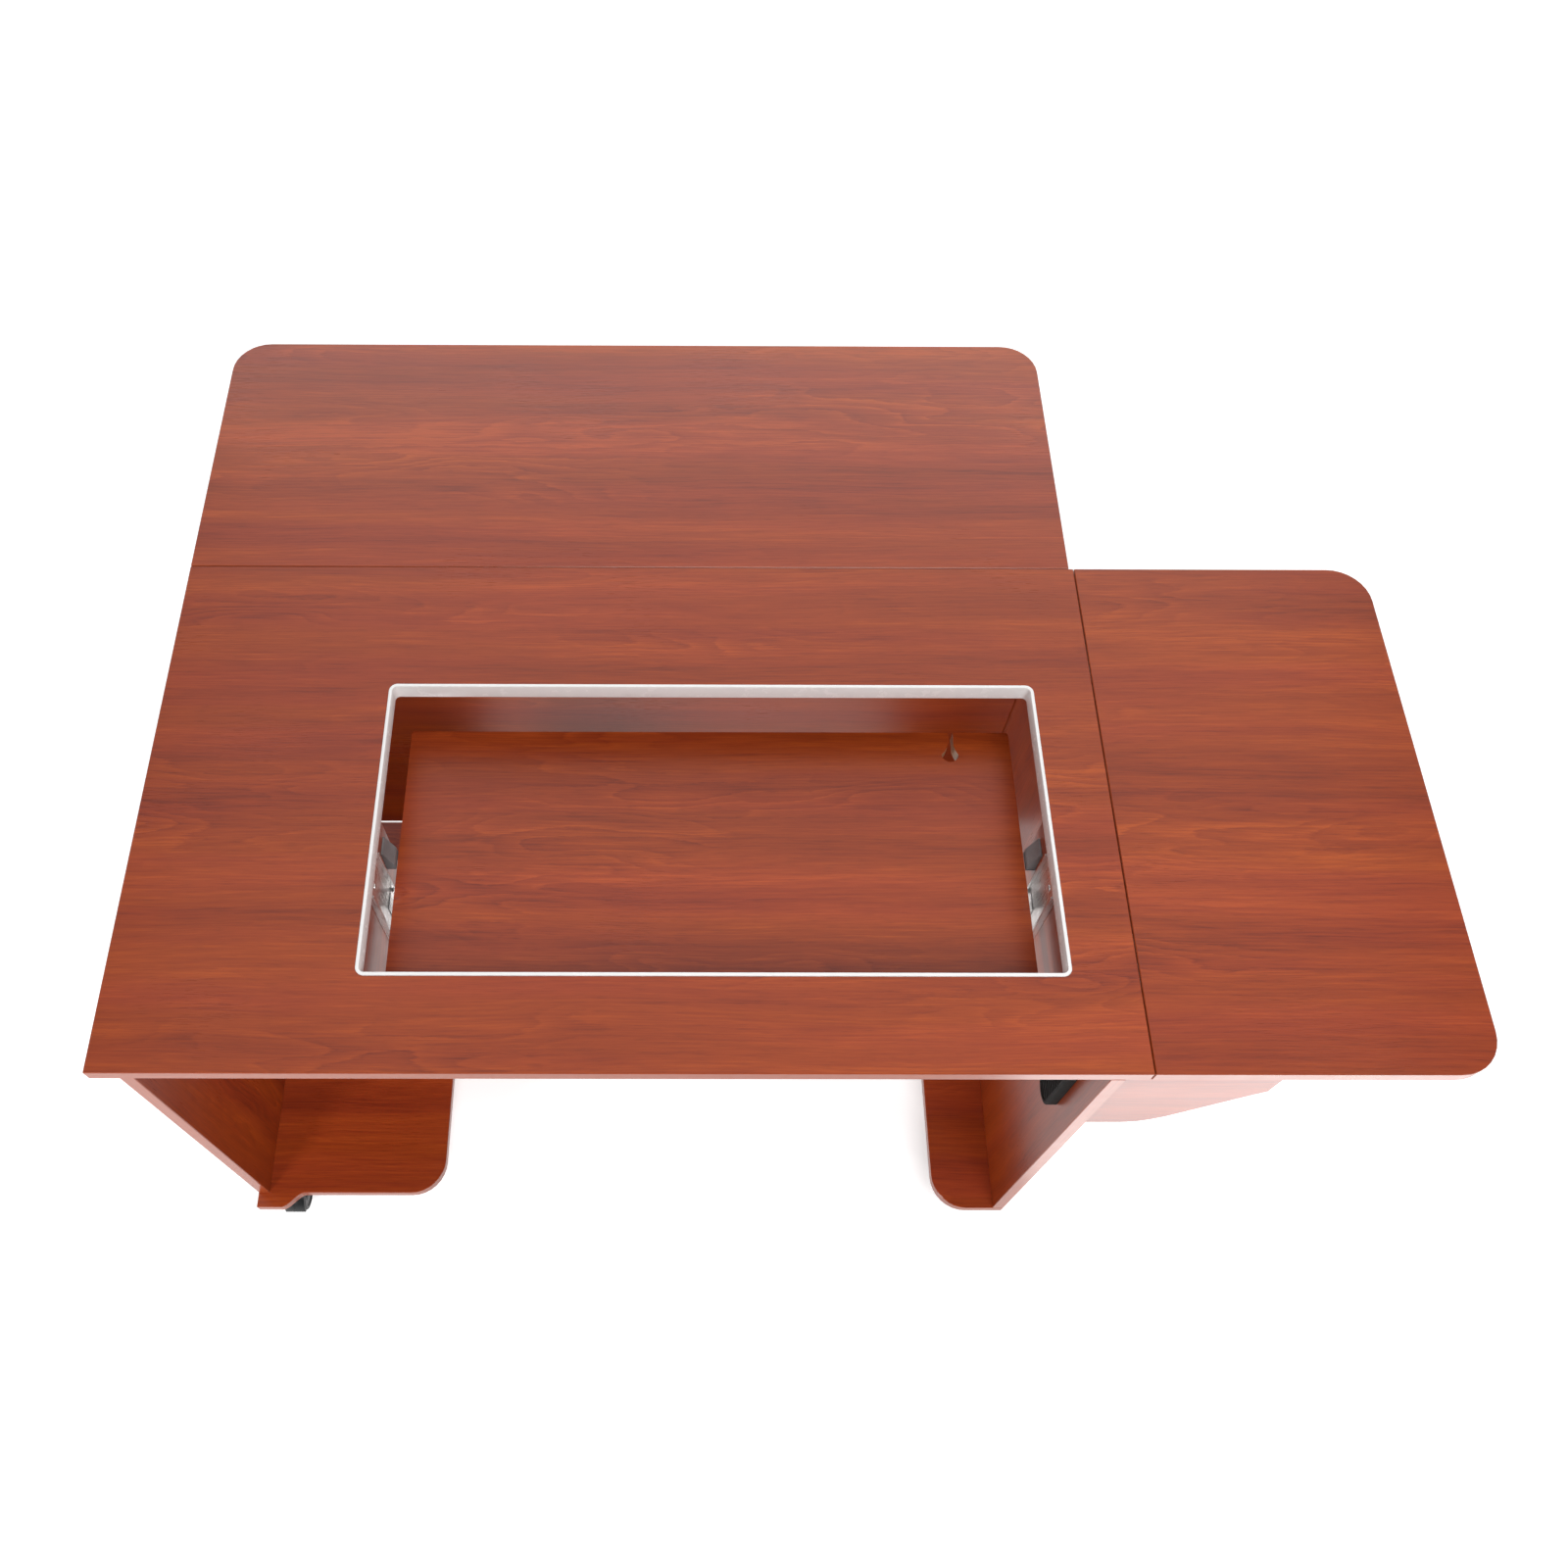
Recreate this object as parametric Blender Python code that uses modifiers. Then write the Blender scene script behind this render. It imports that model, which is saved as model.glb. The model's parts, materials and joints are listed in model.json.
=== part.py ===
"""Sewing table with a machine opening, a gas-sprung lift platform, a swing-out leaf support and two
folding leaves, on twin-wheel casters. Metres, +Z up, origin on the floor under the middle of the table."""

from math import cos, pi, radians, sin

import bmesh
import bpy
from mathutils import Matrix, Vector

# Driving dimensions
TOP_W = 1.118  # main top, left to right
TOP_D = 0.656  # main top, front to rear
TOP_T = 0.019
TOP_Z = 0.740  # height of the working surface
SEAM_X = 0.0012  # gap between the main top and the side leaf
SEAM_Y = 0.0006  # gap between the main top and the rear leaf
SIDE_LEAF_W = 0.3685
REAR_LEAF_D = 0.3864
REAR_LEAF_INSET = 0.0054  # the rear leaf stops short of the right edge
CORNER_R = 0.048
BOARD_T = 0.016
BASE_T = 0.018
BASE_TOP_Z = 0.078
GAP = 0.0003  # between solids that touch
EDGE_ROUND = 0.0008

OPEN_LO = (0.274, 0.112)  # clear machine opening, from the top's front left corner
OPEN_HI = (1.042, 0.476)
OPEN_R = 0.006
TRIM_WALL = 0.0015
TRIM_FLANGE = 0.0040
TRIM_DROP = 0.022
TRIM_RISE = 0.0012
TRIM_REBATE = 0.0010  # depth of the step in the top that the trim's flange lies in

BODY_REAR = 0.630  # rear edge of the side panels and base boards
LEFT_PANEL_X = 0.003
LEFT_PANEL_FRONT = 0.021
LEFT_BASE_RIGHT = 0.2735
TAB_END = 0.038
TAB_BLEND_END = 0.070
RIGHT_PANEL_X = 1.077
RIGHT_FOOT_X = 0.991
BACK_PANEL_Y = 0.580
BACK_PANEL_DROP = 0.560

CHEEK_X = 0.268  # inner face of the left well cheek
CHEEK_Y = (0.125, 0.318)
CHEEK_DROP = 0.420
PLATFORM_LO = (0.281, 0.118)
PLATFORM_HI = (1.035, 0.472)
PLATFORM_DEPTH = 0.098  # working surface to platform surface, at rest
LIFT_DOWN = 0.140
ROD_XY = (0.300, 0.290)
ROD_R = 0.004
CYLINDER_R = 0.010
CORD_HOLE = (0.9590, 0.440)
CORD_HOLE_R = 0.0105
CORD_NECK = (0.9620, 0.462)  # where the slit from the platform's rear edge starts to widen into the hole
CORD_SLIT_W = 0.0054

SUPPORT_FRONT = 0.030
SUPPORT_REACH = 1.303
SUPPORT_DROP = 0.300
SUPPORT_END_DROP = 0.165
SUPPORT_HINGE_R = 0.003
REAR_HINGE_R = 0.005
REAR_HINGE_X = (0.150, 0.559, 0.968)
SIDE_HINGE_Y = (0.130, 0.526)

WHEEL_R = 0.025
TRAIL = 0.018
CASTER_H = BASE_TOP_Z - BASE_T

TOTAL_W = TOP_W + SEAM_X + SIDE_LEAF_W
TOTAL_D = TOP_D + SEAM_Y + REAR_LEAF_D
CORNER = Vector((-TOTAL_W / 2, -TOTAL_D / 2, TOP_Z))  # the top's front left corner, on the working surface


def fresh_scene():
    for obj in list(bpy.data.objects):
        bpy.data.objects.remove(obj, do_unlink=True)
    made = []
    for name in ("sewing_table", "cutters"):
        collection = bpy.data.collections.new(name)
        bpy.context.scene.collection.children.link(collection)
        made.append(collection)
    return made


PARTS, CUTTERS = fresh_scene()
CUTTERS.hide_render = True


def material(name, colour, roughness, metallic=0.0):
    made = bpy.data.materials.new(name)
    made.use_nodes = True
    shader = made.node_tree.nodes["Principled BSDF"]
    shader.inputs["Base Color"].default_value = (*colour, 1.0)
    shader.inputs["Roughness"].default_value = roughness
    shader.inputs["Metallic"].default_value = metallic
    return made


CHERRY = material("cherry_laminate", (0.36, 0.09, 0.045), 0.4)
WHITE = material("white_trim", (0.86, 0.85, 0.84), 0.35)
STEEL = material("zinc_steel", (0.62, 0.62, 0.63), 0.35, 1.0)
GREY = material("grey_nylon", (0.22, 0.22, 0.22), 0.5)
BLACK = material("black_plastic", (0.015, 0.017, 0.018), 0.4)
RUBBER = material("black_rubber", (0.02, 0.02, 0.02), 0.7)
CHROME = material("chrome_rod", (0.75, 0.75, 0.76), 0.12, 1.0)


def at(x, y, drop=0.0):
    """A world point from a place on the top: x from its left edge, y from its front edge, drop below its surface."""
    return CORNER + Vector((x, y, -drop))


def add(name, mesh, look, matrix=None, cutter=False):
    """An object of this mesh. A cutter is hidden from the render."""
    obj = bpy.data.objects.new(name, mesh)
    (CUTTERS if cutter else PARTS).objects.link(obj)
    if matrix is not None:
        obj.matrix_world = matrix
    if cutter:
        obj.hide_render = True
        obj.display_type = "WIRE"
    elif not mesh.materials:
        mesh.materials.append(look)
    return obj


def box(name, low, high, look=None, cutter=False):
    mesh = bpy.data.meshes.new(name)
    shape = bmesh.new()
    bmesh.ops.create_cube(shape, size=1.0)
    low, high = Vector(low), Vector(high)
    bmesh.ops.scale(shape, vec=high - low, verts=shape.verts)
    bmesh.ops.translate(shape, vec=(low + high) / 2, verts=shape.verts)
    shape.to_mesh(mesh)
    shape.free()
    return add(name, mesh, look, cutter=cutter)


def placed_box(name, x, y, drops, look=None, cutter=False):
    """A box given by its spans on the top: x, y and its drops below the working surface, upper first."""
    return box(name, at(x[0], y[0], drops[1]), at(x[1], y[1], drops[0]), look, cutter)


TURN = {"x": Matrix.Rotation(pi / 2, 4, "Y"), "y": Matrix.Rotation(-pi / 2, 4, "X"), "z": Matrix.Identity(4)}


def rod(name, centre, radius, length, axis="z", look=None, cutter=False, sides=24):
    mesh = bpy.data.meshes.new(name)
    shape = bmesh.new()
    bmesh.ops.create_cone(
        shape, cap_ends=True, segments=sides, radius1=radius, radius2=radius, depth=length
    )
    bmesh.ops.transform(shape, matrix=Matrix.Translation(centre) @ TURN[axis], verts=shape.verts)
    shape.to_mesh(mesh)
    shape.free()
    mesh.shade_smooth()
    mesh.set_sharp_from_angle(angle=radians(40))
    return add(name, mesh, look, cutter=cutter)


def slab(name, outline, thickness, matrix, look=None, cutter=False, rounded=False):
    """A flat piece from a closed outline in its own XY plane, thickness centred on that plane."""
    curve = bpy.data.curves.new(name, "CURVE")
    curve.dimensions = "2D"
    curve.fill_mode = "BOTH"
    curve.extrude = thickness / 2
    spline = curve.splines.new("POLY")
    spline.points.add(len(outline) - 1)
    for point, (x, y) in zip(spline.points, outline):
        point.co = (x, y, 0, 1)
    spline.use_cyclic_u = True
    guide = bpy.data.objects.new(name + "_guide", curve)
    bpy.context.scene.collection.objects.link(guide)
    graph = bpy.context.evaluated_depsgraph_get()
    mesh = bpy.data.meshes.new_from_object(guide.evaluated_get(graph))
    bpy.data.objects.remove(guide, do_unlink=True)
    shape = bmesh.new()
    shape.from_mesh(mesh)
    bmesh.ops.remove_doubles(shape, verts=shape.verts, dist=1e-6)
    bmesh.ops.dissolve_limit(
        shape, angle_limit=radians(0.5), verts=shape.verts, edges=shape.edges
    )
    bmesh.ops.recalc_face_normals(shape, faces=shape.faces)
    shape.to_mesh(mesh)
    shape.free()
    obj = add(name, mesh, look, matrix, cutter)
    if rounded:
        round_edges(obj)
    return obj


def round_edges(obj, width=EDGE_ROUND):
    bevel = obj.modifiers.new("round_edges", "BEVEL")
    bevel.width = width
    bevel.segments = 1
    bevel.limit_method = "ANGLE"
    bevel.angle_limit = radians(50)


def combine(obj, other, operation):
    modifier = obj.modifiers.new(operation.lower(), "BOOLEAN")
    modifier.operation = operation
    modifier.object = other
    if other.name not in CUTTERS.objects:
        PARTS.objects.unlink(other)
        CUTTERS.objects.link(other)
    other.hide_render = True
    other.display_type = "WIRE"
    return obj


def cut(obj, *cutters):
    for cutter in cutters:
        combine(obj, cutter, "DIFFERENCE")
    return obj


def join(obj, *others):
    for other in others:
        combine(obj, other, "UNION")
    return obj


def arc(centre, radius, start, end, steps=8):
    """Points along an arc, angles in degrees, counter-clockwise when end is larger."""
    return [
        (
            centre[0] + radius * cos(radians(start + (end - start) * i / steps)),
            centre[1] + radius * sin(radians(start + (end - start) * i / steps)),
        )
        for i in range(steps + 1)
    ]


def rounded_outline(low, high, radii, steps=8):
    """A rectangle whose corners, from low-low and counter-clockwise, have these radii; 0 stays sharp."""
    corners = ((low[0], low[1]), (high[0], low[1]), (high[0], high[1]), (low[0], high[1]))
    inward = ((1, 1), (-1, 1), (-1, -1), (1, -1))
    points = []
    for i, (corner, side, radius) in enumerate(zip(corners, inward, radii)):
        if radius == 0:
            points.append(corner)
            continue
        centre = (corner[0] + side[0] * radius, corner[1] + side[1] * radius)
        points += arc(centre, radius, 180 + 90 * i, 270 + 90 * i, steps)
    return points


def s_curve(start, end, steps=8):
    """A smooth step between two points, level at both ends."""
    points = []
    for i in range(1, steps):
        share = i / steps
        rise = share * share * (3 - 2 * share)
        points.append(
            (start[0] + (end[0] - start[0]) * share, start[1] + (end[1] - start[1]) * rise)
        )
    return points


def level(drop):
    """The plane this far below the working surface, with its origin at the top's front left corner."""
    return Matrix.Translation(CORNER - Vector((0, 0, drop)))


# Tops and leaves


def main_top():
    outline = rounded_outline((0, 0), (TOP_W, TOP_D), (0, 0, 0, 0))
    top = slab("main_top", outline, TOP_T, level(TOP_T / 2), CHERRY, rounded=True)
    side = TRIM_WALL + GAP
    low = (OPEN_LO[0] - side, OPEN_LO[1] - side)
    high = (OPEN_HI[0] + side, OPEN_HI[1] + side)
    hole = rounded_outline(low, high, (OPEN_R + side,) * 4, steps=4)
    cut(top, slab("opening_cutter", hole, 3 * TOP_T, level(TOP_T / 2), cutter=True))
    side = TRIM_FLANGE + GAP
    low = (OPEN_LO[0] - side, OPEN_LO[1] - side)
    high = (OPEN_HI[0] + side, OPEN_HI[1] + side)
    step = rounded_outline(low, high, (OPEN_R + side,) * 4, steps=4)
    cut(top, slab("rebate_cutter", step, 2 * TRIM_REBATE, level(0), cutter=True))
    for number, y in enumerate(SIDE_HINGE_Y, 1):
        spans = ((TOP_W - 0.0185, TOP_W + 0.001), (y - 0.0303, y + 0.0303), (0.0037, 0.0153))
        cut(top, placed_box(f"top_mortise_{number}", *spans, cutter=True))


def opening_trim():
    """A white L-section frame: a flange let into the working surface and a wall down into the opening."""
    reach = TRIM_FLANGE
    low = (OPEN_LO[0] - reach, OPEN_LO[1] - reach)
    high = (OPEN_HI[0] + reach, OPEN_HI[1] + reach)
    flange_t = TRIM_RISE + TRIM_REBATE - GAP
    flange = rounded_outline(low, high, (OPEN_R + reach,) * 4, steps=4)
    trim = slab("opening_trim", flange, flange_t, level(flange_t / 2 - TRIM_RISE), WHITE)
    side = TRIM_WALL
    low = (OPEN_LO[0] - side, OPEN_LO[1] - side)
    high = (OPEN_HI[0] + side, OPEN_HI[1] + side)
    wall_t = TRIM_DROP + TRIM_RISE / 2
    wall = rounded_outline(low, high, (OPEN_R + side,) * 4, steps=4)
    join(trim, slab("trim_wall", wall, wall_t, level(TRIM_DROP - wall_t / 2), cutter=True))
    clear = rounded_outline(OPEN_LO, OPEN_HI, (OPEN_R,) * 4, steps=4)
    cut(trim, slab("trim_bore", clear, 0.2, level(0), cutter=True))


def rear_leaf():
    low = (0, TOP_D + SEAM_Y)
    high = (TOP_W - REAR_LEAF_INSET, TOP_D + SEAM_Y + REAR_LEAF_D)
    outline = rounded_outline(low, high, (0, 0, CORNER_R, CORNER_R))
    slab("rear_leaf", outline, TOP_T, level(TOP_T / 2), CHERRY, rounded=True)


def side_leaf():
    low = (TOP_W + SEAM_X, 0)
    high = (TOP_W + SEAM_X + SIDE_LEAF_W, TOP_D)
    outline = rounded_outline(low, high, (0, CORNER_R, CORNER_R, 0))
    leaf = slab("side_leaf", outline, TOP_T, level(TOP_T / 2), CHERRY, rounded=True)
    start = TOP_W + SEAM_X
    for number, y in enumerate(SIDE_HINGE_Y, 1):
        spans = ((start - 0.001, start + 0.0185), (y - 0.0303, y + 0.0303), (0.0037, 0.0153))
        cut(leaf, placed_box(f"leaf_mortise_{number}", *spans, cutter=True))


def side_leaf_hinges():
    """Concealed hinges: one barrel block let into the edge of the top, the other into the leaf's edge."""
    for place, y in zip(("front", "rear"), SIDE_HINGE_Y):
        span = (y - 0.030, y + 0.030)
        edge = TOP_W - 0.0003
        placed_box(f"side_hinge_{place}_top_half", (edge - 0.0175, edge), span, (0.004, 0.015), STEEL)
        edge = TOP_W + SEAM_X + 0.0003
        placed_box(f"side_hinge_{place}_leaf_half", (edge, edge + 0.0175), span, (0.004, 0.015), STEEL)


def hinge_half(name, matrix, length, width, radius, thickness, outer):
    """Half a butt hinge: axis along local X, plate towards +Y with its outer face at Z = radius.
    The outer half has two end knuckles and the pin, the other half the bored middle knuckle."""
    third = length / 6
    if outer:
        spans = ((-length / 2, -third), (third, length / 2))
    else:
        spans = ((-third + 0.0004, third - 0.0004),)
    low_z = radius - thickness
    start = radius + 0.0006
    plate = box(name, (-length / 2, start, low_z), (length / 2, width, radius), STEEL)
    for i, (a, b) in enumerate(spans):
        tongue = box(f"{name}_tongue_{i}", (a, 0, low_z), (b, start + 0.001, radius), cutter=True)
        middle = ((a + b) / 2, 0, 0)
        knuckle = rod(f"{name}_knuckle_{i}", middle, radius, b - a, "x", cutter=True, sides=16)
        join(plate, tongue, knuckle)
    pin_r = radius * 0.45
    if outer:
        join(plate, rod(f"{name}_pin", (0, 0, 0), pin_r, length * 0.9, "x", cutter=True, sides=12))
    else:
        bore_r = pin_r + GAP
        cut(plate, rod(f"{name}_bore", (0, 0, 0), bore_r, length, "x", cutter=True, sides=12))
    graph = bpy.context.evaluated_depsgraph_get()
    mesh = bpy.data.meshes.new_from_object(plate.evaluated_get(graph))
    bpy.data.objects.remove(plate, do_unlink=True)
    return add(name, mesh, STEEL, matrix)


def axes(along, across, normal, origin):
    """A placement whose local X, Y and Z run along these world directions."""
    turned = Matrix((along, across, normal)).transposed().to_4x4()
    return Matrix.Translation(origin) @ turned


def rear_leaf_hinges():
    drop = TOP_T + GAP + REAR_HINGE_R
    for place, x in zip(("left", "middle", "right"), REAR_HINGE_X):
        origin = at(x, TOP_D + SEAM_Y / 2, drop)
        to_front = axes((-1, 0, 0), (0, -1, 0), (0, 0, 1), origin)
        to_rear = axes((1, 0, 0), (0, 1, 0), (0, 0, 1), origin)
        sizes = (0.060, 0.050, REAR_HINGE_R, 0.002)
        hinge_half(f"rear_hinge_{place}_top_half", to_front, *sizes, True)
        hinge_half(f"rear_hinge_{place}_leaf_half", to_rear, *sizes, False)


# Base


def panels():
    drops = (TOP_T + GAP, TOP_Z - BASE_TOP_Z - GAP)
    left = (LEFT_PANEL_X, LEFT_PANEL_X + BOARD_T)
    right = (RIGHT_PANEL_X, RIGHT_PANEL_X + BOARD_T)
    round_edges(placed_box("left_side_panel", left, (LEFT_PANEL_FRONT, BODY_REAR), drops, CHERRY))
    round_edges(placed_box("right_side_panel", right, (0, BODY_REAR), drops, CHERRY))
    between = (left[1] + GAP, right[0] - GAP)
    depth = (BACK_PANEL_Y, BACK_PANEL_Y + BOARD_T)
    round_edges(placed_box("back_panel", between, depth, (TOP_T + GAP, BACK_PANEL_DROP), CHERRY))


def left_base_board():
    """A wide board with a forward tab, joined to its set-back front edge by a smooth S."""
    outline = [(LEFT_PANEL_X, 0), (TAB_END, 0)]
    outline += s_curve((TAB_END, 0), (TAB_BLEND_END, LEFT_PANEL_FRONT))
    outline += [(TAB_BLEND_END, LEFT_PANEL_FRONT)]
    right = LEFT_BASE_RIGHT - CORNER_R
    outline += arc((right, LEFT_PANEL_FRONT + CORNER_R), CORNER_R, 270, 360)
    outline += arc((right, BODY_REAR - CORNER_R), CORNER_R, 0, 90)
    outline += [(LEFT_PANEL_X, BODY_REAR)]
    middle = TOP_Z - BASE_TOP_Z + BASE_T / 2
    slab("left_base_board", outline, BASE_T, level(middle), CHERRY, rounded=True)


def right_foot_board():
    low = (RIGHT_FOOT_X, 0)
    high = (RIGHT_PANEL_X + BOARD_T, BODY_REAR)
    outline = rounded_outline(low, high, (CORNER_R, 0, 0, CORNER_R))
    middle = TOP_Z - BASE_TOP_Z + BASE_T / 2
    slab("right_foot_board", outline, BASE_T, level(middle), CHERRY, rounded=True)


def cable_port_cover():
    """A long oval black cover on the inner face of the right panel, with a softened rim."""
    half_w, half_h = 0.0217, 0.0794
    outline = arc((half_h - half_w, 0), half_w, -90, 90) + arc((half_w - half_h, 0), half_w, 90, 270)
    thickness = 0.0134
    place = at(RIGHT_PANEL_X - GAP - thickness / 2, 0.058, 0.184)
    matrix = axes((0, 0, 1), (0, 1, 0), (-1, 0, 0), place)
    cover = slab("cable_port_cover", outline, thickness, matrix, BLACK)
    round_edges(cover, 0.002)


# Machine well and lift


def well():
    drops = (TOP_T + GAP, CHEEK_DROP)
    right = OPEN_LO[0] + OPEN_HI[0] - CHEEK_X
    placed_box("well_left_cheek", (CHEEK_X - BOARD_T, CHEEK_X), CHEEK_Y, drops, CHERRY)
    placed_box("well_right_cheek", (right, right + BOARD_T), CHEEK_Y, drops, CHERRY)
    outer = (CHEEK_X - BOARD_T, right + BOARD_T)
    placed_box("well_front_rail", outer, (0.090, 0.106), (TOP_T + GAP, 0.079), CHERRY)


def cord_outline(steps=8):
    """The cord hole: a round hole that narrows like a bell into a slit open at the rear edge."""
    (hole_x, hole_y), (neck_x, neck_y) = CORD_HOLE, CORD_NECK
    half = CORD_SLIT_W / 2
    left, right = [], []
    for i in range(steps + 1):
        share = i / steps
        x = hole_x + (neck_x - hole_x) * share
        width = half + (CORD_HOLE_R - half) * (1 - share) ** 2.2
        y = hole_y + (neck_y - hole_y) * share
        left.append((x - width, y))
        right.append((x + width, y))
    rear = PLATFORM_HI[1] + 0.01
    bottom = arc(CORD_HOLE, CORD_HOLE_R, 180, 360, 12)[1:-1]
    return left[::-1] + bottom + right + [(neck_x + half, rear), (neck_x - half, rear)]


def lift_platform():
    outline = rounded_outline(PLATFORM_LO, PLATFORM_HI, (0.004,) * 4, steps=3)
    middle = PLATFORM_DEPTH + BASE_T / 2
    platform = slab("lift_platform", outline, BASE_T, level(middle), CHERRY)
    cut(platform, slab("cord_hole", cord_outline(), 0.05, level(middle), cutter=True))


def mirrored(span, side):
    """An x span on the left side of the well, or its mirror image on the right side."""
    if side == "left":
        return span
    total = OPEN_LO[0] + OPEN_HI[0]
    return (total - span[1], total - span[0])


def lift_side(side):
    """The rail, carriage, stop and gas spring on one side of the well."""
    rail_y = (0.211, 0.267)
    rail_drops = (0.025, 0.400)
    face = CHEEK_X + GAP
    rail = placed_box(f"lift_rail_{side}", mirrored((face, face + 0.002), side), rail_y, rail_drops, STEEL)
    for i, y in enumerate((rail_y[0], rail_y[1] - 0.002)):
        span = mirrored((face + 0.001, face + 0.0072), side)
        lip = placed_box(f"rail_lip_{side}_{i}", span, (y, y + 0.002), rail_drops, cutter=True)
        join(rail, lip)

    under = PLATFORM_DEPTH + BASE_T + GAP
    flange = mirrored((0.282, 0.340), side)
    drops = (under, under + 0.0025)
    carriage = placed_box(f"lift_carriage_{side}", flange, (0.200, 0.312), drops, STEEL)
    tongue = placed_box(f"carriage_tongue_{side}", mirrored((0.276, 0.284), side), (0.240, 0.262), drops, cutter=True)
    web_spans = (mirrored((0.276, 0.2785), side), (0.240, 0.262), (under, 0.230))
    web = placed_box(f"carriage_web_{side}", *web_spans, cutter=True)
    slider_spans = (mirrored((0.271, 0.277), side), (0.240, 0.262), (0.124, 0.228))
    slider = placed_box(f"carriage_slider_{side}", *slider_spans, cutter=True)
    join(carriage, tongue, web, slider)

    x_low, x_high = face, face + 0.0112
    reach, slope = 0.0112, 0.002
    outline = [(0, -0.102), (reach, -0.102), (reach, -0.090), (slope, -0.062), (0, -0.062)]
    away = (1, 0, 0) if side == "left" else (-1, 0, 0)
    wall_x = mirrored((face, face), side)[0]
    normal = Vector(away).cross(Vector((0, 0, 1)))
    slab(f"lift_stop_{side}", outline, 0.023, axes(away, (0, 0, 1), normal, at(wall_x, 0.2935)), GREY)

    x = mirrored((ROD_XY[0], ROD_XY[0]), side)[0]
    y = ROD_XY[1]
    rod_top = under + 0.0025 + GAP
    cap_h = 0.008
    cylinder_top = rod_top + LIFT_DOWN + cap_h + 0.003
    rod_bottom = cylinder_top + PLATFORM_DEPTH + 0.016
    bore_bottom = rod_bottom + LIFT_DOWN + 0.004
    cylinder_bottom = bore_bottom + 0.010

    rod_middle = at(x, y, (rod_top + rod_bottom) / 2)
    piston = rod(f"gas_rod_{side}", rod_middle, ROD_R, rod_bottom - rod_top, look=CHROME, sides=16)
    cap = rod(f"rod_cap_{side}", at(x, y, rod_top + cap_h / 2), 0.008, cap_h, cutter=True, sides=16)
    join(piston, cap)

    length = cylinder_bottom - cylinder_top
    middle = at(x, y, (cylinder_top + cylinder_bottom) / 2)
    cylinder = rod(f"gas_cylinder_{side}", middle, CYLINDER_R, length, look=BLACK, sides=20)
    bore_h = bore_bottom - cylinder_top + 0.01
    bore = at(x, y, bore_bottom - bore_h / 2)
    cut(cylinder, rod(f"cylinder_bore_{side}", bore, ROD_R + GAP, bore_h, cutter=True, sides=16))

    clamp_x = mirrored((face, ROD_XY[0] + 0.014), side)
    clamp = placed_box(f"gas_clamp_{side}", clamp_x, (y - 0.014, y + 0.014), (0.290, 0.330), STEEL)
    grip = rod(f"clamp_bore_{side}", at(x, y, 0.31), CYLINDER_R + GAP, 0.06, cutter=True, sides=20)
    cut(clamp, grip)


# Swing-out leaf support


def side_support():
    """A board at right angles to the right panel, with an S-shaped lower edge that rises to its end."""
    panel = RIGHT_PANEL_X + BOARD_T
    start = panel + 0.0025
    top = TOP_T + 0.003
    flat_end = 1.168
    corner = 0.014
    slope_end = (SUPPORT_REACH, -SUPPORT_END_DROP)
    outline = [(start, -top), (start, -SUPPORT_DROP), (flat_end, -SUPPORT_DROP)]
    outline += [(1.186, -0.2965), (1.201, -0.2875), (1.216, -0.274)]
    outline += [(SUPPORT_REACH - corner, slope_end[1] - corner * 1.15), slope_end]
    outline += [(SUPPORT_REACH, -top)]
    middle = SUPPORT_FRONT + BOARD_T / 2
    matrix = axes((1, 0, 0), (0, 0, 1), (0, -1, 0), at(0, middle))
    slab("side_support_board", outline, BOARD_T, matrix, CHERRY, rounded=True)

    pad = (SUPPORT_REACH - 0.065, SUPPORT_REACH - 0.015)
    depth = (SUPPORT_FRONT + 0.002, SUPPORT_FRONT + BOARD_T - 0.002)
    placed_box("support_bumper", pad, depth, (TOP_T + 0.0005, top - GAP), RUBBER)

    origin = at(
        panel + GAP + SUPPORT_HINGE_R, SUPPORT_FRONT + BOARD_T + GAP + SUPPORT_HINGE_R, 0.160
    )
    sizes = (0.240, 0.030, SUPPORT_HINGE_R, 0.0015)
    on_panel = axes((0, 0, 1), (0, 1, 0), (-1, 0, 0), origin)
    on_board = axes((0, 0, -1), (1, 0, 0), (0, -1, 0), origin)
    hinge_half("support_hinge_panel_half", on_panel, *sizes, True)
    hinge_half("support_hinge_board_half", on_board, *sizes, False)


# Casters: each is built about its swivel axis, on the floor, with its wheels towards +Y


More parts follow.
